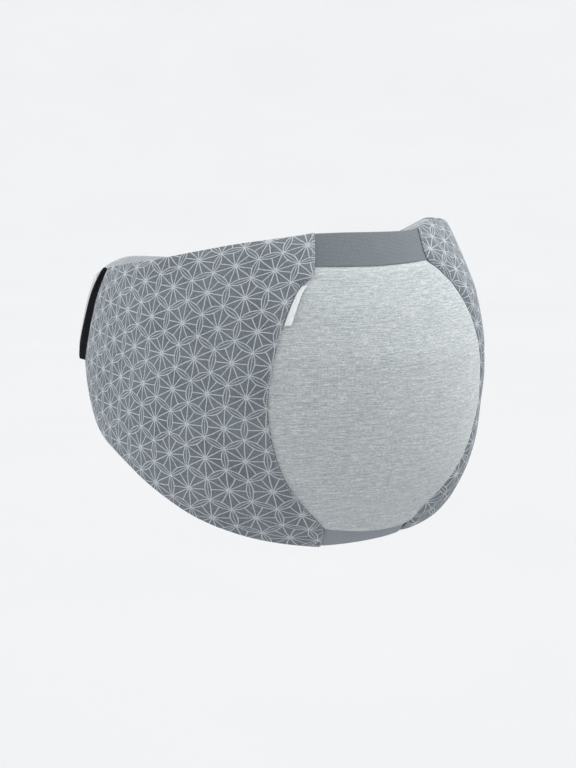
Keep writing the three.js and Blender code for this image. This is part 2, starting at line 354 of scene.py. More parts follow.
# Ends a cloth material: colour, roughness and bump on a matt shader with a soft sheen
def finishCloth(tree, colour, roughness, height, depth, sheen, sheenTint="#ffffff", ior=1.46, shine=0.25):
    bump = add(tree, "Bump", {"Height": height, "Distance": depth, "Strength": 1.0})
    values = {
        "Base Color": colour,
        "Roughness": roughness,
        "Normal": bump,
        "IOR": ior,
        "Specular IOR Level": shine,
        "Sheen Weight": sheen,
        "Sheen Roughness": 0.45,
        "Sheen Tint": linear(sheenTint),
    }
    shader = add(tree, "BsdfPrincipled", values)
    add(tree, "OutputMaterial", {"Surface": shader})


# The same with two colours mixed by a tone, and two roughnesses mixed by the pattern of the nap
def finishTwoTone(tree, tone, dark, light, nap, roughness, height, depth, sheen, **more):
    colour = add(tree, "Mix", {0: tone, 6: linear(dark), 7: linear(light)}, data_type="RGBA").outputs[2]
    matt = add(tree, "MapRange", {"Value": nap, "To Min": roughness[0], "To Max": roughness[1]})
    finishCloth(tree, colour, matt, height, depth, sheen, **more)


# Polyester jersey, single knitted from melange yarn: level streaks of darker and lighter yarn over wales.
# The wales are 0.6 mm apart on the real cloth, and drawn coarser here so that they show.
def melangeJersey(name, dark, mid, light, streak=(7.5 * mm, 0.72 * mm), wale=1.9 * mm, sheen=0.25):
    material, tree = newMaterial(name)
    long, tall = streak
    streaks = []
    for k, (longer, taller) in enumerate(((1, 1), (0.3, 1), (3.4, 2.2))):
        lay = clothLay(tree, long * longer, tall * taller, (3.1 * k, 1.7 * k, 0))
        streaks.append(add(tree, "TexNoise", {"Vector": lay, "Scale": 1.0, "Detail": 2.0, "Roughness": 0.6}))
    both = add(tree, "Math", {0: streaks[0], 1: streaks[1]}, operation="ADD")
    all3 = add(tree, "Math", {0: streaks[2], 1: 0.6, 2: both}, operation="MULTIPLY_ADD")
    tone = add(tree, "MapRange", {"Value": all3, "From Min": 0.96, "From Max": 1.64})
    wave = {"Vector": clothLay(tree, wale, wale * 0.9), "Scale": 0.5, "Detail": 1.0}
    wales = add(tree, "TexWave", {**wave, "Distortion": 1.2}, bands_direction="X").outputs["Fac"]
    courses = add(tree, "TexWave", {**wave, "Distortion": 0.8}, bands_direction="Y").outputs["Fac"]
    knit = add(tree, "Math", {0: wales, 1: courses}, operation="MULTIPLY")
    shade = add(tree, "Math", {0: knit, 1: 0.3, 2: tone}, operation="MULTIPLY_ADD")
    ramp = add(tree, "ValToRGB", {"Fac": shade})
    stops = ramp.color_ramp.elements
    stops[0].position, stops[0].color = 0.15, linear(dark)
    stops[1].position, stops[1].color = 0.95, linear(light)
    middle = stops.new(0.55)
    middle.color = linear(mid)
    roughness = add(tree, "MapRange", {"Value": tone, "To Min": 0.82, "To Max": 0.95})
    height = add(tree, "Math", {0: tone, 1: 0.5, 2: knit}, operation="MULTIPLY_ADD")
    finishCloth(tree, ramp, roughness, height, 0.25 * mm, sheen)
    return material


# Polyester knit, screen printed with a lattice of stars: lighter ink lies a little proud and dulls the knit
printInk = {
    "stroke": 0.38 * mm,  # half a line's width
    "softness": 0.16 * mm,
    "lensHalfWidth": 2.5 * mm,
    "starSpacing": 31.5 * mm,
    "wobble": (0.05, 0.05, 0),  # how far hand-laid cloth strays, in star spacings
    "corner": 0.012,  # how softly lines run into each other
    "cloud": 45 * mm,
    "loop": (1.5 * mm, 1.3 * mm),  # 0.7 mm apart on the real cloth, and drawn coarser so that they show
}
rowPitch = math.sqrt(3) / 2  # rows of stars, in star spacings


# Distance from the nearest line of the lattice and from the nearest star's centre, in star spacings
def starLattice(tree):
    stroke, lens = (printInk[k] / printInk["starSpacing"] for k in ("stroke", "lensHalfWidth"))
    halfSide = 0.5 / math.sqrt(3)  # half a side of a star's hexagon
    sixth = math.pi / 6
    lay = add(tree, "UVMap", uv_map="printLay")
    noise = add(tree, "TexNoise", {"Vector": lay, "Scale": 2.3, "Detail": 1.0}).outputs["Color"]
    wobble = add(tree, "VectorMath", {0: noise, 1: (0.5, 0.5, 0.5)}, operation="SUBTRACT")
    placed = add(tree, "VectorMath", {0: wobble, 1: printInk["wobble"], 2: lay}, operation="MULTIPLY_ADD")
    # The nearest star of the even rows and of the odd ones, then the nearer of the two
    half = (0.5, rowPitch, 0.5)
    minusHalf = tuple(-h for h in half)
    stars, distances = [], []
    for shift in ((0, 0, 0), half):
        moved = add(tree, "VectorMath", {0: placed, 1: shift}, operation="ADD")
        wrapped = add(tree, "VectorMath", {0: moved, 1: half, 2: minusHalf}, operation="WRAP")
        stars.append(add(tree, "VectorMath", {0: wrapped, 1: (1, 1, 0)}, operation="MULTIPLY"))
        distances.append(add(tree, "VectorMath", {0: stars[-1]}, operation="LENGTH").outputs["Value"])
    nearer = add(tree, "Math", {0: distances[1], 1: distances[0]}, operation="LESS_THAN")
    star = add(tree, "Mix", {0: nearer, 4: stars[0], 5: stars[1]}, data_type="VECTOR").outputs[1]
    far = add(tree, "Math", {0: distances[0], 1: distances[1]}, operation="MINIMUM")
    parts = add(tree, "SeparateXYZ", {0: star})
    heading = add(tree, "Math", {0: parts.outputs[1], 1: parts.outputs[0]}, operation="ARCTAN2")
    fold = add(tree, "Math", {0: heading, 1: sixth}, operation="PINGPONG")
    foldCos = add(tree, "Math", {0: fold}, operation="COSINE")
    foldSin = add(tree, "Math", {0: fold}, operation="SINE")
    outward = add(tree, "Math", {0: far, 1: foldCos}, operation="MULTIPLY")  # 0 at the star, 0.5 at the side
    aside = add(tree, "Math", {0: far, 1: foldSin}, operation="MULTIPLY")
    # Lens along each side: its outline, and a finer line down its middle
    share = add(tree, "Math", {0: aside, 1: halfSide}, operation="DIVIDE")
    squared = add(tree, "Math", {0: share, 1: share}, operation="MULTIPLY")
    bow = add(tree, "Math", {0: squared, 1: lens, 2: 0.5 - lens}, operation="MULTIPLY_ADD")
    fromBow = add(tree, "Math", {0: outward, 1: bow}, operation="SUBTRACT")
    outline = add(tree, "Math", {0: fromBow}, operation="ABSOLUTE")
    fromSide = add(tree, "Math", {0: 0.5, 1: outward}, operation="SUBTRACT")
    middleEnd = add(tree, "Math", {0: aside, 1: halfSide * 0.72}, operation="SUBTRACT")
    middleLine = add(tree, "Math", {0: fromSide, 1: middleEnd}, operation="MAXIMUM")
    middleLine = add(tree, "Math", {0: middleLine, 1: stroke * 0.35}, operation="ADD")
    # Rays to the hexagon's corners, and shorter ones to the lenses
    toCorner = add(tree, "Math", {0: sixth, 1: fold}, operation="SUBTRACT")
    cornerSin = add(tree, "Math", {0: toCorner}, operation="SINE")
    longRay = add(tree, "Math", {0: far, 1: cornerSin}, operation="MULTIPLY")
    rayEnd = add(tree, "Math", {0: outward, 1: 0.5 - lens}, operation="SUBTRACT")
    shortRay = add(tree, "Math", {0: aside, 1: rayEnd}, operation="MAXIMUM")
    nearest = outline
    for ray in (longRay, shortRay):
        nearest = add(tree, "Math", {0: nearest, 1: ray, 2: printInk["corner"]}, operation="SMOOTH_MIN")
    return add(tree, "Math", {0: nearest, 1: middleLine}, operation="MINIMUM"), far


def printedKnit(name, ground, groundLight, ink, inkFaint):
    material, tree = newMaterial(name)
    stroke, softness = (printInk[k] / printInk["starSpacing"] for k in ("stroke", "softness"))
    nearest, far = starLattice(tree)
    edge = {"Value": nearest, "From Min": stroke + softness, "From Max": stroke - softness}
    printed = add(tree, "MapRange", edge, interpolation_type="SMOOTHSTEP")
    # The ink leaves each star's very centre open, and breaks up over the knit's loops
    pinhole = add(tree, "MapRange", {"Value": far, "From Min": 0.008, "From Max": 0.03, "To Min": 0.45})
    printed = add(tree, "Math", {0: printed, 1: pinhole}, operation="MULTIPLY")
    loopLay = clothLay(tree, *printInk["loop"])
    loops = add(tree, "TexVoronoi", {"Vector": loopLay, "Scale": 1.0, "Randomness": 0.55})
    grain = add(tree, "TexNoise", {"Vector": loopLay, "Scale": 0.8, "Detail": 3.0, "Roughness": 0.7})
    cloudLay = clothLay(tree, printInk["cloud"], printInk["cloud"])
    cloud = add(tree, "TexNoise", {"Vector": cloudLay, "Scale": 1.0, "Detail": 2.0})
    loopTone = add(tree, "Math", {0: loops, 1: -0.35, 2: grain}, operation="MULTIPLY_ADD")
    groundTone = add(tree, "Math", {0: cloud, 1: 0.5, 2: loopTone}, operation="MULTIPLY_ADD")
    groundTone = add(tree, "MapRange", {"Value": groundTone, "From Min": 0.25, "From Max": 0.8})
    cover = add(tree, "MapRange", {"Value": grain, "From Min": 0.25, "From Max": 0.5, "To Min": 0.6})
    covered = add(tree, "Math", {0: printed, 1: cover}, operation="MULTIPLY")
    bare = {0: groundTone, 6: linear(ground), 7: linear(groundLight)}
    inked = {0: loopTone, 6: linear(inkFaint), 7: linear(ink)}
    under, over = (add(tree, "Mix", colours, data_type="RGBA").outputs[2] for colours in (bare, inked))
    colour = add(tree, "Mix", {0: covered, 6: under, 7: over}, data_type="RGBA").outputs[2]
    roughness = add(tree, "MapRange", {"Value": covered, "To Min": 0.88, "To Max": 0.74})
    height = add(tree, "Math", {0: covered, 1: 0.45, 2: loopTone}, operation="MULTIPLY_ADD")
    finishCloth(tree, colour, roughness, height, 0.22 * mm, 0.06, "#e8eef2")
    return material


# Polyester and elastane rib knit: upright ribs, soft and matt
def ribKnit(name, valley, crest, rib=2.4 * mm, yarn=(1.1 * mm, 1.6 * mm)):
    material, tree = newMaterial(name)
    wave = {"Vector": clothLay(tree, rib, rib * 6), "Scale": onePerUnit, "Distortion": 0.5, "Detail": 1.0}
    ribs = add(tree, "TexWave", wave, bands_direction="X").outputs["Fac"]
    specks = add(tree, "TexNoise", {"Vector": clothLay(tree, *yarn), "Scale": 1.0, "Detail": 3.0})
    tone = add(tree, "Math", {0: specks, 1: 0.5, 2: ribs}, operation="MULTIPLY_ADD")
    tone = add(tree, "MapRange", {"Value": tone, "From Min": 0.1, "From Max": 1.35})
    height = add(tree, "Math", {0: specks, 1: 0.3, 2: ribs}, operation="MULTIPLY_ADD")
    finishTwoTone(tree, tone, valley, crest, specks, (0.8, 0.97), height, 0.3 * mm, 0.3)
    return material


# Woven folded elastic: level picks across fine upright cords, even and dense.
# The cords are 0.8 mm apart on the real band, and drawn coarser here so that they show.
def wovenElastic(name, dark, light, cord=1.7 * mm, pick=1.2 * mm):
    material, tree = newMaterial(name)
    cordLay = clothLay(tree, cord, pick)
    wave = {"Vector": cordLay, "Scale": onePerUnit, "Detail": 1.0}
    cords = add(tree, "TexWave", {**wave, "Distortion": 0.6}, bands_direction="X").outputs["Fac"]
    picks = add(tree, "TexWave", {**wave, "Distortion": 0.9}, bands_direction="Y").outputs["Fac"]
    grain = add(tree, "TexNoise", {"Vector": cordLay, "Scale": 0.9, "Detail": 3.0})
    weave = add(tree, "Math", {0: cords, 1: picks}, operation="MULTIPLY")
    tone = add(tree, "Math", {0: weave, 1: 0.5, 2: grain}, operation="MULTIPLY_ADD")
    tone = add(tree, "MapRange", {"Value": tone, "From Min": 0.3, "From Max": 1.1})
    finishTwoTone(tree, tone, dark, light, weave, (0.85, 0.7), weave, 0.2 * mm, 0.2)
    return material


# Brushed loop knit that hooks grip: a low nap in soft tufts
def brushedLoop(name, dark, light, tuft=(1.8 * mm, 1.4 * mm), cloudSize=30 * mm):
    material, tree = newMaterial(name)
    tuftLay = clothLay(tree, *tuft)
    tufts = add(tree, "TexVoronoi", {"Vector": tuftLay, "Scale": 1.0, "Randomness": 0.9}, feature="SMOOTH_F1")
    nap = add(tree, "TexNoise", {"Vector": tuftLay, "Scale": 0.5, "Detail": 4.0, "Roughness": 0.7})
    cloudLay = clothLay(tree, cloudSize, cloudSize)
    cloud = add(tree, "TexNoise", {"Vector": cloudLay, "Scale": 1.0, "Detail": 2.0})
    height = add(tree, "Math", {0: tufts, 1: -0.5, 2: nap}, operation="MULTIPLY_ADD")
    height = add(tree, "Math", {0: cloud, 1: 0.4, 2: height}, operation="MULTIPLY_ADD")
    tone = add(tree, "MapRange", {"Value": height, "From Min": 0.0, "From Max": 0.75})
    finishTwoTone(tree, tone, dark, light, nap, (0.85, 1.0), height, 0.5 * mm, 0.2)
    return material


# Nylon hook tape, woven and resin backed: close black rows with a dull shine on their crests
def hookTape(name, dark, light, hookRow=1.6 * mm):
    material, tree = newMaterial(name)
    rowLay = clothLay(tree, hookRow, hookRow)
    level = {"Vector": rowLay, "Scale": onePerUnit, "Distortion": 0.3}
    upright = {"Vector": rowLay, "Scale": 0.5, "Distortion": 0.6}
    hookRows = add(tree, "TexWave", level, bands_direction="Y").outputs["Fac"]
    threads = add(tree, "TexWave", upright, bands_direction="X").outputs["Fac"]
    weave = add(tree, "Math", {0: hookRows, 1: threads}, operation="MULTIPLY")
    lint = add(tree, "TexNoise", {"Vector": rowLay, "Scale": 0.7, "Detail": 4.0})
    tone = add(tree, "Math", {0: lint, 1: 0.4, 2: weave}, operation="MULTIPLY_ADD")
    tone = add(tree, "MapRange", {"Value": tone, "From Min": 0.1, "From Max": 1.2})
    finishTwoTone(tree, tone, dark, light, weave, (0.95, 0.8), weave, 0.35 * mm, 0.0, ior=1.53, shine=0.04)
    return material


# Polyester satin ribbon, woven with long floats: white, smooth along its length, with a soft shine
def satinRibbon(name, dark, light, floatSize=(0.7 * mm, 4 * mm)):
    material, tree = newMaterial(name)
    floats = add(tree, "TexNoise", {"Vector": clothLay(tree, *floatSize), "Scale": 1.0, "Detail": 2.0})
    tone = add(tree, "MapRange", {"Value": floats, "From Min": 0.25, "From Max": 0.7})
    finishTwoTone(tree, tone, dark, light, floats, (0.38, 0.55), floats, 0.08 * mm, 0.15, ior=1.5)
    return material


# Spun polyester thread: two plies twisted, hairy and matt
def spunThread(name, dark, light, ply=0.5 * mm):
    material, tree = newMaterial(name)
    place = add(tree, "TexCoord").outputs["Object"]
    plies = add(tree, "TexNoise", {"Vector": place, "Scale": 1 / ply, "Detail": 2.0})
    finishTwoTone(tree, plies, dark, light, plies, (0.65, 0.85), plies, 0.06 * mm, 0.2)
    return material


finish = {
    "print": printedKnit("printed polyester knit", "#51575d", "#767c82", "#c6cccf", "#a6acb1"),
    "jersey": melangeJersey("melange jersey knit", "#93999b", "#adb3b5", "#cdd2d4"),
    "elastic": wovenElastic("woven folded elastic, upper", "#60666b", "#737a7f"),
    # The lower band is the same elastic as the upper, painted lighter to make up for the light that its
    # downward face and the pouch's overhang keep off it
    "lowerElasticPaintedLighter": wovenElastic("woven folded elastic, lower, painted lighter", "#7a8086", "#8f959a"),
    "rib": ribKnit("ribbed lining knit", "#a3a8ac", "#d3d7da"),
    "loop": brushedLoop("brushed loop knit", "#8e9397", "#bcc0c4"),
    "hook": hookTape("woven hook tape", "#08080b", "#1c1d22"),
    "satin": satinRibbon("satin ribbon", "#c9ced1", "#e4e8ea"),
    "lightThread": spunThread("spun thread, light grey", "#9fa6ab", "#c9cfd3"),
    "blackThread": spunThread("spun thread, black", "#0b0b0d", "#222328"),
}
print("materials:", len(finish))


# Stitches: a Geometry Nodes tree lays one small bead of thread after another along a line
def stitchTree():
    tree = bpy.data.node_groups.new("stitches along a line", "GeometryNodeTree")
    face = tree.interface
    face.new_socket("Line", in_out="INPUT", socket_type="NodeSocketGeometry")
    for name, start in (("Pitch", 3 * mm), ("Length", 2.2 * mm), ("Thread", 0.5 * mm), ("Slant", 0.0)):
        socket = face.new_socket(name, in_out="INPUT", socket_type="NodeSocketFloat")
        socket.default_value = start
    face.new_socket("Material", in_out="INPUT", socket_type="NodeSocketMaterial")
    face.new_socket("Stitches", in_out="OUTPUT", socket_type="NodeSocketGeometry")
    given = add(tree, "NodeGroupInput").outputs
    curve = add(tree, "GeometryNodeMeshToCurve", {0: given["Line"]})
    evenly = add(tree, "GeometryNodeResampleCurve", {"Curve": curve, "Length": given["Pitch"]}, mode="LENGTH")
    tangent = add(tree, "GeometryNodeInputTangent")
    outward = add(tree, "GeometryNodeInputNamedAttribute", {"Name": "outward"}, data_type="FLOAT_VECTOR")
    along = add(tree, "FunctionNodeAlignRotationToVector", {"Vector": tangent}, axis="X")
    facing = {"Rotation": along, "Vector": outward}
    upright = add(tree, "FunctionNodeAlignRotationToVector", facing, axis="Z", pivot_axis="X")
    index = add(tree, "GeometryNodeInputIndex")
    parity = add(tree, "Math", {0: index, 1: 1.0}, operation="PINGPONG")
    signed = add(tree, "Math", {0: parity, 1: 2.0, 2: -1.0}, operation="MULTIPLY_ADD")
    angle = add(tree, "Math", {0: signed, 1: given["Slant"]}, operation="MULTIPLY")
    turn = add(tree, "FunctionNodeAxisAngleToRotation", {"Axis": (0, 0, 1), "Angle": angle})
    slanted = add(tree, "FunctionNodeRotateRotation", {0: upright, 1: turn}, rotation_space="LOCAL")
    spread = {"Min": (0.88, 0.9, 0.9), "Max": (1.1, 1.1, 1.1), "Seed": 7}
    vary = add(tree, "FunctionNodeRandomValue", spread, data_type="FLOAT_VECTOR")
    size = add(tree, "CombineXYZ", {0: given["Length"], 1: given["Thread"], 2: given["Thread"]})
    sized = add(tree, "VectorMath", {0: size, 1: vary}, operation="MULTIPLY")
    bead = add(tree, "GeometryNodeMeshUVSphere", {"Segments": 8, "Rings": 5, "Radius": 0.5})
    beads = {"Points": evenly, "Instance": bead, "Rotation": slanted, "Scale": sized}
    placed = add(tree, "GeometryNodeInstanceOnPoints", beads)
    real = add(tree, "GeometryNodeRealizeInstances", {0: placed})
    coloured = add(tree, "GeometryNodeSetMaterial", {"Geometry": real, "Material": given["Material"]})
    add(tree, "NodeGroupOutput", {0: coloured})
    return tree


stitches = stitchTree()


# A line on a piece's outside, a given distance inside one of its edges, between two shares of its length
def insetLine(lay, edge, inset, begin=0.0, until=1.0):
    distances = lay[edge]
    points, normals = lay["outside"], lay["normal"]
    if edge in ("fromFoot", "fromTop"):
        distances, points, normals = distances.T, points.swapaxes(0, 1), normals.swapaxes(0, 1)
    order = 1 if distances[0, 0] < distances[0, -1] else -1
    found = []
    for d, p, n in zip(distances[:, ::order], points[:, ::order], normals[:, ::order]):
        found.append([np.interp(inset, d, column) for column in (*p.T, *n.T)])
    found = np.array(found)
    keep = np.linspace(begin, until, len(found)) * (len(found) - 1)
    at = np.arange(len(found))
    found = np.stack([np.interp(keep, at, column) for column in found.T], -1)
    found[:, [0, 3]] *= lay["side"]
    return found[:, :3], found[:, 3:]


# Sews lines of one stitch, which has a pitch, a length, a thread, a slant and a lift off the cloth
def sew(name, lines, stitch, material):
    points, normals, edges = [], [], []
    for line, outward in lines:
        first = len(points)
        points.extend((line + outward * stitch["lift"]).tolist())
        normals.extend(outward.tolist())
        edges.extend((i, i + 1) for i in range(first, len(points) - 1))
    mesh = bpy.data.meshes.new(name)
    mesh.from_pydata(points, edges, [])
    outwards = mesh.attributes.new("outward", "FLOAT_VECTOR", "POINT")
    outwards.data.foreach_set("vector", np.array(normals).reshape(-1))
    guide = inScene(name, mesh)
    modifier = guide.modifiers.new("stitches", "NODES")
    modifier.node_group = stitches
    values = {**stitch, "material": finish[material]}
    for item in stitches.interface.items_tree:
        if item.in_out == "INPUT" and item.name.lower() in values:
            modifier[item.identifier] = values[item.name.lower()]
    guide.update_tag()
    graph = bpy.context.evaluated_depsgraph_get()
    sewn = bpy.data.meshes.new_from_object(guide.evaluated_get(graph), depsgraph=graph)
    guide.modifiers.remove(modifier)
    guide.data = sewn
    bpy.data.meshes.remove(mesh)
    sewn.name = name
    sewn.polygons.foreach_set("use_smooth", np.ones(len(sewn.polygons), bool))
    print("sewn:", name, len(sewn.polygons), "faces")
    return guide


# Hangs a piece on the body's root and hides the CAD nodes that it stands for
def settle(piece, slot, *nodes):
    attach(piece, "root")
    if nodes:
        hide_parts(*nodes)
    print("settled:", piece.name)


# Pouch, a stretched jersey: it bulges between its seams and hangs over the lower band
pouch = {
    "step": 2.6 * mm,
    "roll": 0.6 * mm,
    "hemRoll": 1.7 * mm,
    "bulge": 1.5 * mm,
    "leftBulge": 1.9 * mm,  # more towards the wearer's left, above the lower third
    "leftBulgeFrom": {"u": (0.45, 0.5), "v": (0.12, 0.3)},
    "bulgeRise": 9 * mm,
    "seamGap": 0.6 * mm,
    "bandGap": 1 * mm,
    "unevenness": 0.25 * mm,
    "unevenWave": 70 * mm,
    "pull": {"depth": 0.2 * mm, "reach": 28 * mm, "spacing": 17 * mm, "phase": 0.7},
    "hemLap": 3.5 * mm,
    "hemTuck": {"depth": 0.35 * mm, "width": 1.6 * mm},
    "overhangRise": 5 * mm,
    "overhangPlump": 0.5 * mm,
    "overhangPress": 0.2 * mm,
    "stretch": 1.12,
}
bands = {
    "step": 2.0 * mm,
    "roll": 0.9 * mm,
    "inner": 0.1 * mm,
    "outer": 2.05 * mm,
    "lappedOuter": 0.95 * mm,  # where a band lies under the wings
    "lapGap": 0.05 * mm,
    "hemGap": 0.12 * mm,  # between the pouch's hem and the band over it
    "hemFall": 2 * mm,  # the width over which the upper band comes down past that hem
    "fold": {"inset": 3 * mm, "depth": 0.12 * mm, "width": 0.9 * mm},
    "unevenness": 0.1 * mm,
    "unevenWave": 55 * mm,
    "stretch": 1.1,
}

# From the wearer's right to the left, in mm: the bands' heights, how far the pouch hangs over the lower one,
# how far the upper rim sags and how far the lower one rises
frontLines = rows(
    "across upper lower overhang sag rise",
    (0, 25.4, 22.5, 1, 0, 0),
    (0.25, 26.8, 20, 4.5, 0, -0.6),
    (0.5, 26.8, 19.5, 7.5, 0.9, -0.6),
    (0.8, 25.6, 19.5, 7, 1.8, 0.6),
    (1, 26.4, 19.5, 1.5, 0, 2.8),
)


def frontShare(name, u):
    return smooth(frontLines, "across", name, u) * mm / body["frontHeight"] / (beltTop - beltFoot)


def frontPlace(lowLine, highLine):
    def place(u, v):
        level = lowLine(u) * (1 - v) + highLine(u) * v
        right = shifted(seamEdge("right", level), layers["seamLap"])
        left = shifted(seamEdge("left", level), layers["seamLap"])
        return -right[0] * (1 - u) + left[0] * u, right[1]

    return place


def heightInFront(level):
    return (level * (beltTop - beltFoot) + beltFoot) * body["frontHeight"]


# 0 where a front piece lies under the wings' laps, and 1 where it shows
def pastSeams(lay):
    return eased(lay["fromSides"], layers["seamLap"] + layers["edgeGap"], layers["lapRise"])


# Levels across the front, as shares of its height
def upperRim(u):
    return 1 - frontShare("sag", u)


def upperJoin(u):
    return 1 - frontShare("upper", u) - frontShare("sag", u)


def lowerJoin(u):
    return frontShare("lower", u)


def lowerRim(u):
    return frontShare("rise", u)


def makePouch():
    hemLap = pouch["hemLap"] / body["frontHeight"] / (beltTop - beltFoot)
    place = frontPlace(lambda u: lowerJoin(u) - frontShare("overhang", u), lambda u: upperJoin(u) + hemLap)
    lay = layOut(place, pouch["step"], pouch["roll"])
    inner, outer = layers["jersey"]
    seen = pastSeams(lay)
    fromSeam = np.clip((lay["fromSides"] - layers["seamLap"] - pouch["seamGap"]) / pouch["bulgeRise"], 0, 1)
    fromBand = np.clip((lay["fromTop"] - pouch["hemLap"] - pouch["bandGap"]) / pouch["bulgeRise"], 0, 1)
    full = np.sin(fromSeam * math.pi / 2) * np.sin(fromBand * math.pi / 2)
    # Slight level pulls that run out from both seams
    pull = pouch["pull"]
    waves = np.sin(lay["up"] / pull["spacing"] * 2 * math.pi + pull["phase"])
    pulls = pull["depth"] * np.exp(-lay["fromSides"] / pull["reach"]) * waves
    towardsLeft, above = (eased(lay[k], *pouch["leftBulgeFrom"][k]) for k in ("u", "v"))
    fullness = pouch["bulge"] + pouch["leftBulge"] * towardsLeft * above
    swell = full * (fullness + pulls + pouch["unevenness"] * uneven(lay, pouch["unevenWave"], 3))
    # Over the lower band the jersey lies outside it, and hangs round in a soft roll
    bandTop = heightInFront(lowerJoin(lay["u"]))
    overhang = eased(bandTop - lay["base"][..., 2], -pouch["overhangRise"], pouch["overhangRise"])
    lift = overhang * (bands["lappedOuter"] + (bands["outer"] - bands["lappedOuter"]) * seen)
    tuck = pouch["hemTuck"]["depth"] * peak(lay["fromTop"], pouch["hemLap"], pouch["hemTuck"]["width"])
    plump = overhang * (pouch["overhangPlump"] * seen - pouch["overhangPress"])
    inner = inner + swell * (1 - overhang) + lift
    outer = outer + swell + lift - tuck + plump
    piece = clothPiece("belly_pouch", lay, inner, outer, pouch["roll"], endRoll=pouch["hemRoll"])
    dress(piece, finish["jersey"])
    settle(piece, "melange_jersey", "belly_panel")


def makeBand(name, node, lowLine, highLine, openEdge, material):
    lay = layOut(frontPlace(lowLine, highLine), bands["step"], bands["roll"])
    inner = bands["inner"]
    outer = bands["outer"] + bands["unevenness"] * uneven(lay, bands["unevenWave"], 5)
    if openEdge == "fromTop":
        # The upper band's foot lies over the pouch's hem
        offPouch = eased(lay["fromFoot"], pouch["hemLap"] + pouch["roll"], bands["hemFall"])
        inner = layers["jersey"][1] + bands["hemGap"] - layers["jersey"][1] * offPouch
    else:
        lapped = bands["lappedOuter"]
        outer = lapped - bands["lapGap"] + (outer - lapped - bands["lapGap"]) * pastSeams(lay)
    fold = bands["fold"]
    outer = outer - fold["depth"] * peak(lay[openEdge], fold["inset"], fold["width"])
    piece = clothPiece(name, lay, inner, outer, bands["roll"])
    dress(piece, finish[material])
    settle(piece, "elastic_band", node)


makePouch()
makeBand("upper_elastic", "upper_band", upperJoin, upperRim, "fromTop", "elastic")
# The lower band takes the copy of the elastic that is painted lighter against its shade
makeBand("lower_elastic", "lower_band", lowerRim, lowerJoin, "fromFoot", "lowerElasticPaintedLighter")

# Wings, foam-padded and printed
wing = {
    "edgeWall": 2.2 * mm,
    "padding": {"right": 2.1 * mm, "left": 1.2 * mm},
    "rise": 13 * mm,  # how far in from the edge the foam reaches its full height
    "risePower": 0.8,
    "roll": 1.5 * mm,
    "step": 2.4 * mm,
    "seamDrop": 0.73 * mm,
    "dropFrom": {"fromFoot": (25 * mm, 8 * mm), "fromTop": (32 * mm, 8 * mm)},
    "dropUntil": (3 * mm, 4.5 * mm),
    "seamPress": {"right": 1.25 * mm, "left": 1.75 * mm},
    "seamReach": 5 * mm,
    "backPress": 1.8 * mm,
    "backReach": 40 * mm,
    "ridge": {"inset": 6.5 * mm, "height": 0.18 * mm, "width": 2.2 * mm, "fade": 6 * mm},
    "unevenness": 0.3 * mm,
    "unevenWave": 62 * mm,
    "seed": {"right": 11, "left": 12},
    "stitchInset": {"right": 1.5 * mm, "left": 0.7 * mm},
    "stitchRun": (0.006, 0.994),
    "stitch": {"pitch": 1.9 * mm, "length": 2.3 * mm, "thread": 0.45 * mm, "slant": 0.75, "lift": 0.02 * mm},
    "topstitchInset": {"right": 3.2 * mm, "left": 1.5 * mm},
    "topstitchRun": (0.885, 0.99),  # beside the upper band only
    "topstitch": {"pitch": 2.6 * mm, "length": 2.3 * mm, "thread": 0.55 * mm, "slant": 0.0, "lift": 0.1 * mm},
}

# Both lower edges end alike, at the back
lowerFront = {
    "right": ((0, 18.5, -0.489), (0.19, 43, -0.445), (0.36, 63, -0.383), (0.52, 79.5, -0.299)),
    "left": ((0, 17.1, -0.474), (0.19, 43, -0.437), (0.36, 63, -0.383), (0.52, 79.5, -0.3)),
}
lowerBack = ((0.67, 94, -0.216), (0.82, 107.5, -0.136), (0.92, 113, -0.03), (1, 115, 0.065))
lowerEdges = {name: edgeRows(*front, *lowerBack) for name, front in lowerFront.items()}
upperEdges = {
    "right": edgeRows(
        (0, 22.6, 0.505),
        (0.16, 36, 0.49),
        (0.33, 50, 0.474),
        (0.5, 64, 0.451),
        (0.66, 78, 0.426),
        (0.82, 92, 0.404),
        (1, 108.6, 0.374),
    ),
    "left": edgeRows(
        (0, 22, 0.505),
        (0.12, 33, 0.52),
        (0.25, 45, 0.508),
        (0.4, 58, 0.5),
        (0.57, 73, 0.498),
        (0.72, 86, 0.49),
        (0.87, 98, 0.448),
        (1, 109, 0.4),
    ),
}
backEdges = {
    "right": edgeRows(
        (0, 115, 0.065),
        (0.2, 112.2, 0.12),
        (0.5, 111, 0.21),
        (0.8, 110.2, 0.302),
        (1, 108.6, 0.374),
    ),
    "left": edgeRows((0, 115, 0.065), (0.5, 112, 0.23), (1, 109, 0.4)),
}

# How the print lies on a wing: stars along a row and rows down it, from t, the arc towards the front
# from a line 170 mm round, and y, the arc up from mid-height, both in decimetres
printLay = {
    "line": 1.7,
    "star": {"start": 0.11, "perT": 3.18, "perY": -0.24, "bowT": -0.19, "twist": 0.18, "bowY": -0.93},
    "row": {"start": 4.27, "perT": -0.24, "perY": -3.73, "bowT": 0.04, "twist": -0.22, "bowY": 0.04},
    "leftShift": 0.69,  # how many rows lower the print lies on the left wing
}
decimetre = 0.1


def layPrint(lay, name):
    t = printLay["line"] - lay["around"] / decimetre
    y = lay["up"] / decimetre
    for way in ("star", "row"):
        k = printLay[way]
        straight = k["start"] + k["perT"] * t + k["perY"] * y
        lay[way] = straight + k["bowT"] * t * t + k["twist"] * t * y + k["bowY"] * y * y
    shift = printLay["leftShift"] if name == "left" else 0
    lay["row"] = (lay["row"] + shift) * rowPitch


def wingPlace(name):
    return patchInside(
        lambda v: seamEdge(name, v),
        edgeOf(backEdges[name]),
        edgeOf(lowerEdges[name]),
        edgeOf(upperEdges[name]),
    )


# The foam's rise from an edge, steep at first
def foam(distance):
    share = np.clip(distance / wing["rise"], 0, 1)
    return np.sin(share * math.pi / 2) ** wing["risePower"]


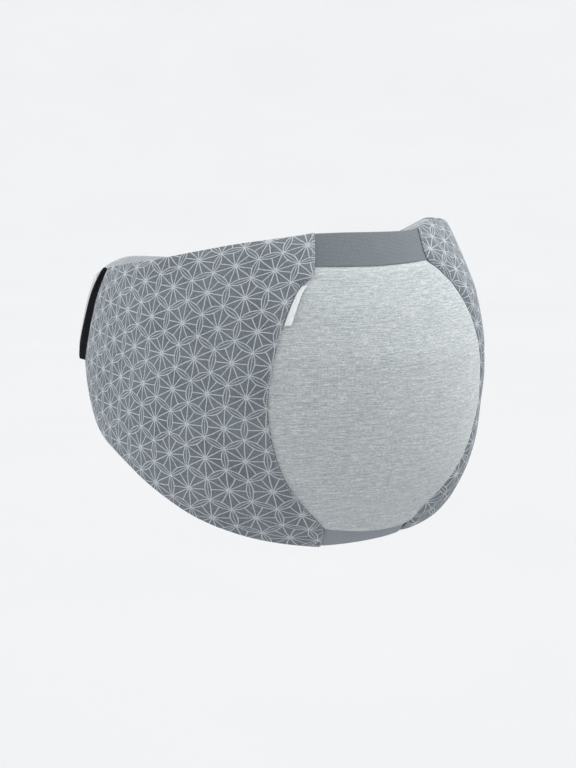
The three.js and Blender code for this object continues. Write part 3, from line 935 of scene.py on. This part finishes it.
def makeWing(name, side, node):
    lay = layOut(wingPlace(name), wing["step"], wing["roll"])
    layPrint(lay, name)
    puff = foam(lay["fromSides"]) * foam(lay["fromEnds"])
    # Between the bands the sewn front edge lies low on the pouch
    aboveFoot, belowTop = (eased(lay[edge], *reach) for edge, reach in wing["dropFrom"].items())
    low = aboveFoot * belowTop * wing["seamDrop"]
    inner = layers["wingInner"] - low * (1 - eased(lay["fromStart"], *wing["dropUntil"]))
    outer = layers["wingInner"] + wing["edgeWall"] + wing["padding"][name] * puff
    outer = outer - (low + wing["seamPress"][name]) * np.exp(-lay["fromStart"] / wing["seamReach"])
    outer = outer - wing["backPress"] * puff * np.exp(-lay["fromEnd"] / wing["backReach"])
    outer = outer + wing["unevenness"] * puff * uneven(lay, wing["unevenWave"], wing["seed"][name])
    # The seam's allowance shows as a faint ridge behind the front edge
    ridge = wing["ridge"]
    raised = ridge["height"] * peak(lay["fromStart"], ridge["inset"], ridge["width"])
    outer = outer + raised * np.clip(lay["fromEnds"] / ridge["fade"], 0, 1)
    piece = clothPiece("padded_wing_" + name, lay, inner, outer, wing["roll"], side)
    dress(piece, finish["print"])
    settle(piece, "printed_fabric", node)
    for stitch, prefix in (("stitch", "seam_stitches_"), ("topstitch", "topstitches_")):
        line = insetLine(lay, "fromStart", wing[stitch + "Inset"][name], *wing[stitch + "Run"])
        settle(sew(prefix + name, [line], wing[stitch], "lightThread"), "printed_fabric")


makeWing("right", -1, "side_panel_right")
makeWing("left", 1, "side_panel_left")


# A wing's length round the body, at levels from 0 at its foot to 1 at its top
def wingLength(name, level):
    whole = wingPlace(name)
    shares = np.linspace(0, 1, 33)
    lengths = [lengthsAlong(bodyPoint(*whole(shares, 0 * shares + share)), 0)[-1] for share in shares]
    return np.interp(level, shares, lengths)


# Linings, a thin rib knit behind each wing
lining = {
    "footInset": 2.5 * mm,
    "topInset": 0.8 * mm,
    "step": 3.2 * mm,
    "roll": 0.5 * mm,
    "looseness": 0.15 * mm,
    "looseFrom": 8 * mm,
    "unevenWave": 48 * mm,
    "stretch": 1.04,
}


def liningPlace(name):
    whole = wingPlace(name)

    def place(u, v):
        low, high = (lining[k] / body["frontHeight"] for k in ("footInset", "topInset"))
        level = low + (1 - high - low) * v
        length = wingLength(name, level)
        first = (layers["seamLap"] + layers["edgeGap"]) / length
        last = 1 - (layers["closureLap"] + layers["edgeGap"]) / length
        return whole(first + (last - first) * u, level)

    return place


def makeLining(name, side, node):
    lay = layOut(liningPlace(name), lining["step"], lining["roll"])
    inner, outer = layers["lining"]
    loose = lining["looseness"] * (1 + uneven(lay, lining["unevenWave"], 21))
    loose = loose * np.clip(lay["fromEdge"] / lining["looseFrom"], 0, 1)
    piece = clothPiece("lining_cloth_" + name, lay, inner - loose, outer - loose * 0.4, lining["roll"], side)
    dress(piece, finish["rib"])
    settle(piece, "ribbed_lining", node)


makeLining("right", -1, "lining_right")
makeLining("left", 1, "lining_left")

# Back panel: brushed loop outside, rib knit inside, hemmed
backPanel = {
    "wall": (0.1 * mm, 1.5 * mm),
    "step": 3.0 * mm,
    "roll": 0.8 * mm,
    "hem": {"inset": 7 * mm, "depth": 0.3 * mm, "width": 0.9 * mm},
    "hemRun": (0.065, 0.935),
    "stitch": {"pitch": 3.2 * mm, "length": 2.4 * mm, "thread": 0.5 * mm, "slant": 0.0, "lift": 0.05 * mm},
    "looseness": 0.5 * mm,
    "looseFrom": 20 * mm,
    "unevenWave": 80 * mm,
    "tabLift": 4.2 * mm,  # how far the panel stands off the waist with the tab, past the wing
    "liftRise": (1 * mm, 28 * mm),
    "liftFall": (45 * mm, 80 * mm),
    "stretch": 1.08,
}
backUpper = edgeRows(
    (0.15, 125, 0.377),
    (0.35, 152, 0.354),
    (0.52, 180, 0.35),
    (0.68, 206, 0.372),
    (0.76, 219, 0.358),
    (0.86, 234, 0.328),
)
backLower = edgeRows((0.15, 125, 0.1), (0.5, 180, 0.095), (0.85, 235, 0.095))
backEnds = {"left": (0.27, 0.93), "right": (0.27, 0.88)}  # foot and top, as shares of the wing's back edge


# Where the panel ends behind a wing
def lappedEnd(name, v):
    low, high = backEnds[name]
    level = low + (high - low) * np.asarray(v, float)
    return wingPlace(name)(1 - layers["closureLap"] / wingLength(name, level), level)


# The far end is on the right wing, which lies the other way round the torso
def farEnd(v):
    angle, height = lappedEnd("right", v)
    return 360 - angle, height


# A long edge of the panel: its ends are on the wings, and its table gives what lies between
def panelEdge(table, v):
    start, end = lappedEnd("left", v), farEnd(v)
    column = {"along": [[0], table["along"], [1]]}
    for axis, name in enumerate(("angle", "height")):
        column[name] = [[float(start[axis])], table[name], [float(end[axis])]]
    return edgeOf({name: np.concatenate(parts) for name, parts in column.items()})


def makeBackPanel():
    edges = panelEdge(backLower, 0.0), panelEdge(backUpper, 1.0)
    place = patchInside(lambda v: lappedEnd("left", v), farEnd, *edges)
    lay = layOut(place, backPanel["step"], backPanel["roll"])
    free = np.clip((lay["fromSides"] - layers["closureLap"]) / backPanel["looseFrom"], 0, 1)
    loose = backPanel["looseness"] * uneven(lay, backPanel["unevenWave"], 31) * free
    hem = backPanel["hem"]
    groove = hem["depth"] * peak(lay["fromEnds"], hem["inset"], hem["width"])
    pastWing = lay["fromEnd"] - layers["closureLap"]
    standing = eased(pastWing, *backPanel["liftRise"]) * (1 - eased(pastWing, *backPanel["liftFall"]))
    loose = loose + backPanel["tabLift"] * standing
    inner, outer = backPanel["wall"]
    piece = clothPiece("back_panel_cloth", lay, inner + loose, outer + loose - groove, backPanel["roll"])
    dress(piece, finish["loop"], finish["rib"])
    settle(piece, "loop_fabric", "back_panel")
    hems = [insetLine(lay, edge, hem["inset"], *backPanel["hemRun"]) for edge in ("fromFoot", "fromTop")]
    hemThread = sew("hem_stitches", hems, backPanel["stitch"], "lightThread")
    settle(hemThread, "loop_fabric")


makeBackPanel()

# Hook tab, sewn to the right wing's back edge
tab = {
    "width": 19.5 * mm,
    "footWidth": 24 * mm,
    "narrows": (8 * mm, 45 * mm),  # how far above its foot it starts to narrow, and over what height
    "lowerCorner": 6 * mm,
    "upperCorner": 48 * mm,
    "upperDepth": 17.5 * mm,
    "ends": (0.01, 0.99),
    "inner": 2.15 * mm,
    "outer": 3.95 * mm,
    "bow": 2.5 * mm,
    "bowRise": (0.04, 0.8),
    "step": 1.6 * mm,
    "roll": 0.9 * mm,
    "stretch": 1.0,
    "border": {"inset": 3 * mm, "depth": 0.25 * mm, "width": 0.9 * mm},
    "borderRuns": {"fromEnd": (0.05, 0.9), "fromStart": (0.03, 0.97)},
    "stitch": {"pitch": 2.8 * mm, "length": 2.2 * mm, "thread": 0.5 * mm, "slant": 0.0, "lift": 0.02 * mm},
}


# How much shorter a rounded corner leaves an edge, at a distance from the corner's end
def cornerCut(radius, distance):
    inside = np.maximum(radius - distance, 0)
    return radius - np.sqrt(radius * radius - inside * inside)


def tabPlace(u, v):
    sewnEdge = edgeOf(backEdges["right"])
    low, high = tab["ends"]
    height = np.linalg.norm(bodyPoint(*sewnEdge(low)) - bodyPoint(*sewnEdge(high)))
    level = 0.5 - 0.5 * np.cos(math.pi * v)
    width = tab["footWidth"] - (tab["footWidth"] - tab["width"]) * eased(level * height, *tab["narrows"])
    steep = tab["upperDepth"] / tab["upperCorner"]
    upperCut = cornerCut(tab["upperCorner"], (1 - level) * height) * steep
    reach = width - cornerCut(tab["lowerCorner"], level * height) - upperCut
    start = sewnEdge(low + (high - low) * level)
    return shifted(start, layers["edgeGap"] + (reach - layers["edgeGap"]) * u)


def makeTab():
    lay = layOut(tabPlace, tab["step"], tab["roll"])
    border = tab["border"]
    sag = border["depth"] * peak(lay["fromEdge"], border["inset"], border["width"])
    # The stiff tape runs straighter than the hip, so that it stands off more and more towards its tip
    bow = tab["bow"] * eased(lay["u"], *tab["bowRise"])
    piece = clothPiece("hook_tab_tape", lay, tab["inner"] + bow, tab["outer"] + bow - sag, tab["roll"], -1)
    dress(piece, finish["hook"])
    settle(piece, "hook_tape", "hook_tab")
    borders = [insetLine(lay, edge, border["inset"], *run) for edge, run in tab["borderRuns"].items()]
    thread = sew("tab_stitches", borders, tab["stitch"], "blackThread")
    settle(thread, "hook_tape")


makeTab()

# Folded tag in the right seam: out over the pouch, round a fold and back, a little lifted at its fold
tag = {
    "low": 0.232,
    "high": 0.349,
    "reach": 6.5 * mm,
    "topReach": 4.6 * mm,
    "gap": 0.6 * mm,
    "lift": 1.6 * mm,
    "liftBow": 0.25,  # the share of the lift that only the middle has
    "leafGap": 0.45 * mm,
    "wall": 0.32 * mm,
    "roll": 0.25 * mm,
    "foot": 2.4 * mm,
    "curl": 0.9 * mm,
    "foldPower": 1.6,  # how suddenly the ribbon turns at its fold
    "foldTightness": 9,  # how soon past the fold the two leaves lie a full gap apart
    "points": (41, 25),
}


def makeTag():
    # t runs along the ribbon, out, round the fold and back, and v up it
    t, v = np.meshgrid(*(np.linspace(0, 1, count) for count in tag["points"]))
    level = tag["low"] + (tag["high"] - tag["low"]) * v
    reach = tag["reach"] + (tag["topReach"] - tag["reach"]) * v
    out = 1 - np.abs(2 * t - 1) ** tag["foldPower"]
    depth = tag["gap"] + (reach - tag["gap"]) * out
    seamAt = smooth(seamLines, "height", "right", level)
    angle = seamAt - degreesFor(depth, seamAt, level)
    leaf = np.tanh((t - 0.5) * tag["foldTightness"]) * tag["leafGap"] / 2
    bowed = 1 - tag["liftBow"] + tag["liftBow"] * np.sin(v * math.pi)
    curl = out * tag["curl"] + tag["lift"] * out**2 * bowed
    middle = tag["foot"] + curl + leaf
    ribbon = bodyPoint(angle, level) + bodyNormal(angle, level) * middle[..., None]
    facing = unit(np.cross(np.gradient(ribbon, axis=1), np.gradient(ribbon, axis=0)))
    du, dv = lengthsAlong(ribbon, 1), lengthsAlong(ribbon, 0)
    fromEdge = np.minimum(np.minimum(du, du[:, -1:] - du), np.minimum(dv, dv[-1:] - dv))
    half = facing * (tag["wall"] / 2 * rolled(fromEdge, tag["roll"]))[..., None]
    lay = {"around": du, "up": dv}
    piece = shell("seam_tag_ribbon", ribbon + half, ribbon - half, lay, -1)
    dress(piece, finish["satin"])
    settle(piece, "satin_tag", "seam_tag")


makeTag()

# Stage: a pale floor far enough down to keep its shadow out of the photograph's view, curving up all round
stage = {
    "floor": -0.62,
    "paper": ("#f1f2f4", "#f5f6f8"),
    "spokes": 64,
    "rings": ((3.0, 0.0), (6.0, 0.0), (8.0, 0.1), (10.0, 0.6), (12.0, 1.9), (13.4, 4.0), (14.0, 7.0)),
}


def makeStage():
    material, tree = newMaterial("matt paper")
    place = add(tree, "TexCoord").outputs["Object"]
    fibres = add(tree, "TexNoise", {"Vector": place, "Scale": 2.0, "Detail": 2.0})
    finishTwoTone(tree, fibres, *stage["paper"], fibres, (0.95, 0.95), fibres, 0.05 * mm, 0.0)
    spokes = stage["spokes"]
    points, faces = [(0, 0, stage["floor"])], []
    for radius, rise in stage["rings"]:
        for k in range(spokes):
            turn = 2 * math.pi * k / spokes
            points.append((radius * math.cos(turn), radius * math.sin(turn), stage["floor"] + rise))
    for k in range(spokes):
        here, ahead = 1 + k, 1 + (k + 1) % spokes
        faces.append((0, here, ahead))
        for ring in range(1, len(stage["rings"])):
            inner, outer = (ring - 1) * spokes, ring * spokes
            faces.append((inner + here, outer + here, outer + ahead, inner + ahead))
    mesh = bpy.data.meshes.new("paper_floor")
    mesh.from_pydata(points, [], faces)
    mesh.polygons.foreach_set("use_smooth", np.ones(len(faces), bool))
    mesh.materials.append(material)
    inScene("paper_floor", mesh)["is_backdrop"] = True


# Camera at the photograph's angle: 38.5 degrees to the wearer's right and 8 degrees up
camera = {
    "aside": 38.5,
    "above": 8.0,
    "distance": 2.2,
    "focalPixels": 2514,
    "imageHeight": 768,
    "aimDrop": 7.9 * mm,
    "sensor": 36,
    "reach": 60,
}
aside, above = math.radians(camera["aside"]), math.radians(camera["above"])
towards = Vector((-math.sin(aside) * math.cos(above), -math.cos(aside) * math.cos(above), math.sin(above)))
toRight = Vector((math.cos(aside), -math.sin(aside), 0))
upwards = towards.cross(toRight)


def makeCamera():
    data = bpy.data.cameras.new("photo view")
    data.sensor_width = camera["sensor"]
    data.lens = camera["focalPixels"] / camera["imageHeight"] * camera["sensor"]
    data.clip_end = camera["reach"]
    eye = inScene("photo view", data)
    eye.location = towards * camera["distance"]
    aim = Vector((0, 0, -camera["aimDrop"]))
    eye.rotation_euler = (aim - eye.location).to_track_quat("-Z", "Y").to_euler()
    bpy.context.scene.camera = eye


# Soft boxes, each placed by its direction in the picture: right, up and towards the camera
lamps = {
    "key": {"way": (0.75, 1.0, -0.15), "distance": 2.6, "size": 2.0, "power": 72},
    "fill": {"way": (-1.0, 0.5, 0.25), "distance": 2.8, "size": 2.2, "power": 32},
    "rim": {"way": (-0.7, 0.6, -1.0), "distance": 2.6, "size": 2.0, "power": 8},
}
studio = {"Color": linear("#f9f9f8"), "Strength": 1.09}


def makeLights():
    # The soft boxes light the belt alone, so that the paper keeps one even tone
    lit = bpy.data.collections.new("lit by the soft boxes")
    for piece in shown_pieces():
        lit.objects.link(piece)
    for name, lamp in lamps.items():
        data = bpy.data.lights.new(name, "AREA")
        data.shape = "SQUARE"
        data.size = lamp["size"]
        data.energy = lamp["power"]
        light = inScene(name, data)
        right, up, near = lamp["way"]
        direction = (toRight * right + upwards * up + towards * near).normalized()
        light.location = direction * lamp["distance"]
        light.rotation_euler = (-direction).to_track_quat("-Z", "Y").to_euler()
        light.visible_camera = False
        light.light_linking.receiver_collection = lit
    world = bpy.data.worlds.new("even studio")
    world.use_nodes = True
    for key, value in studio.items():
        world.node_tree.nodes["Background"].inputs[key].default_value = value
    bpy.context.scene.world = world
    bpy.context.scene.view_settings.view_transform = "Standard"


makeStage()
makeCamera()
makeLights()
print("stage, camera and lights ready")
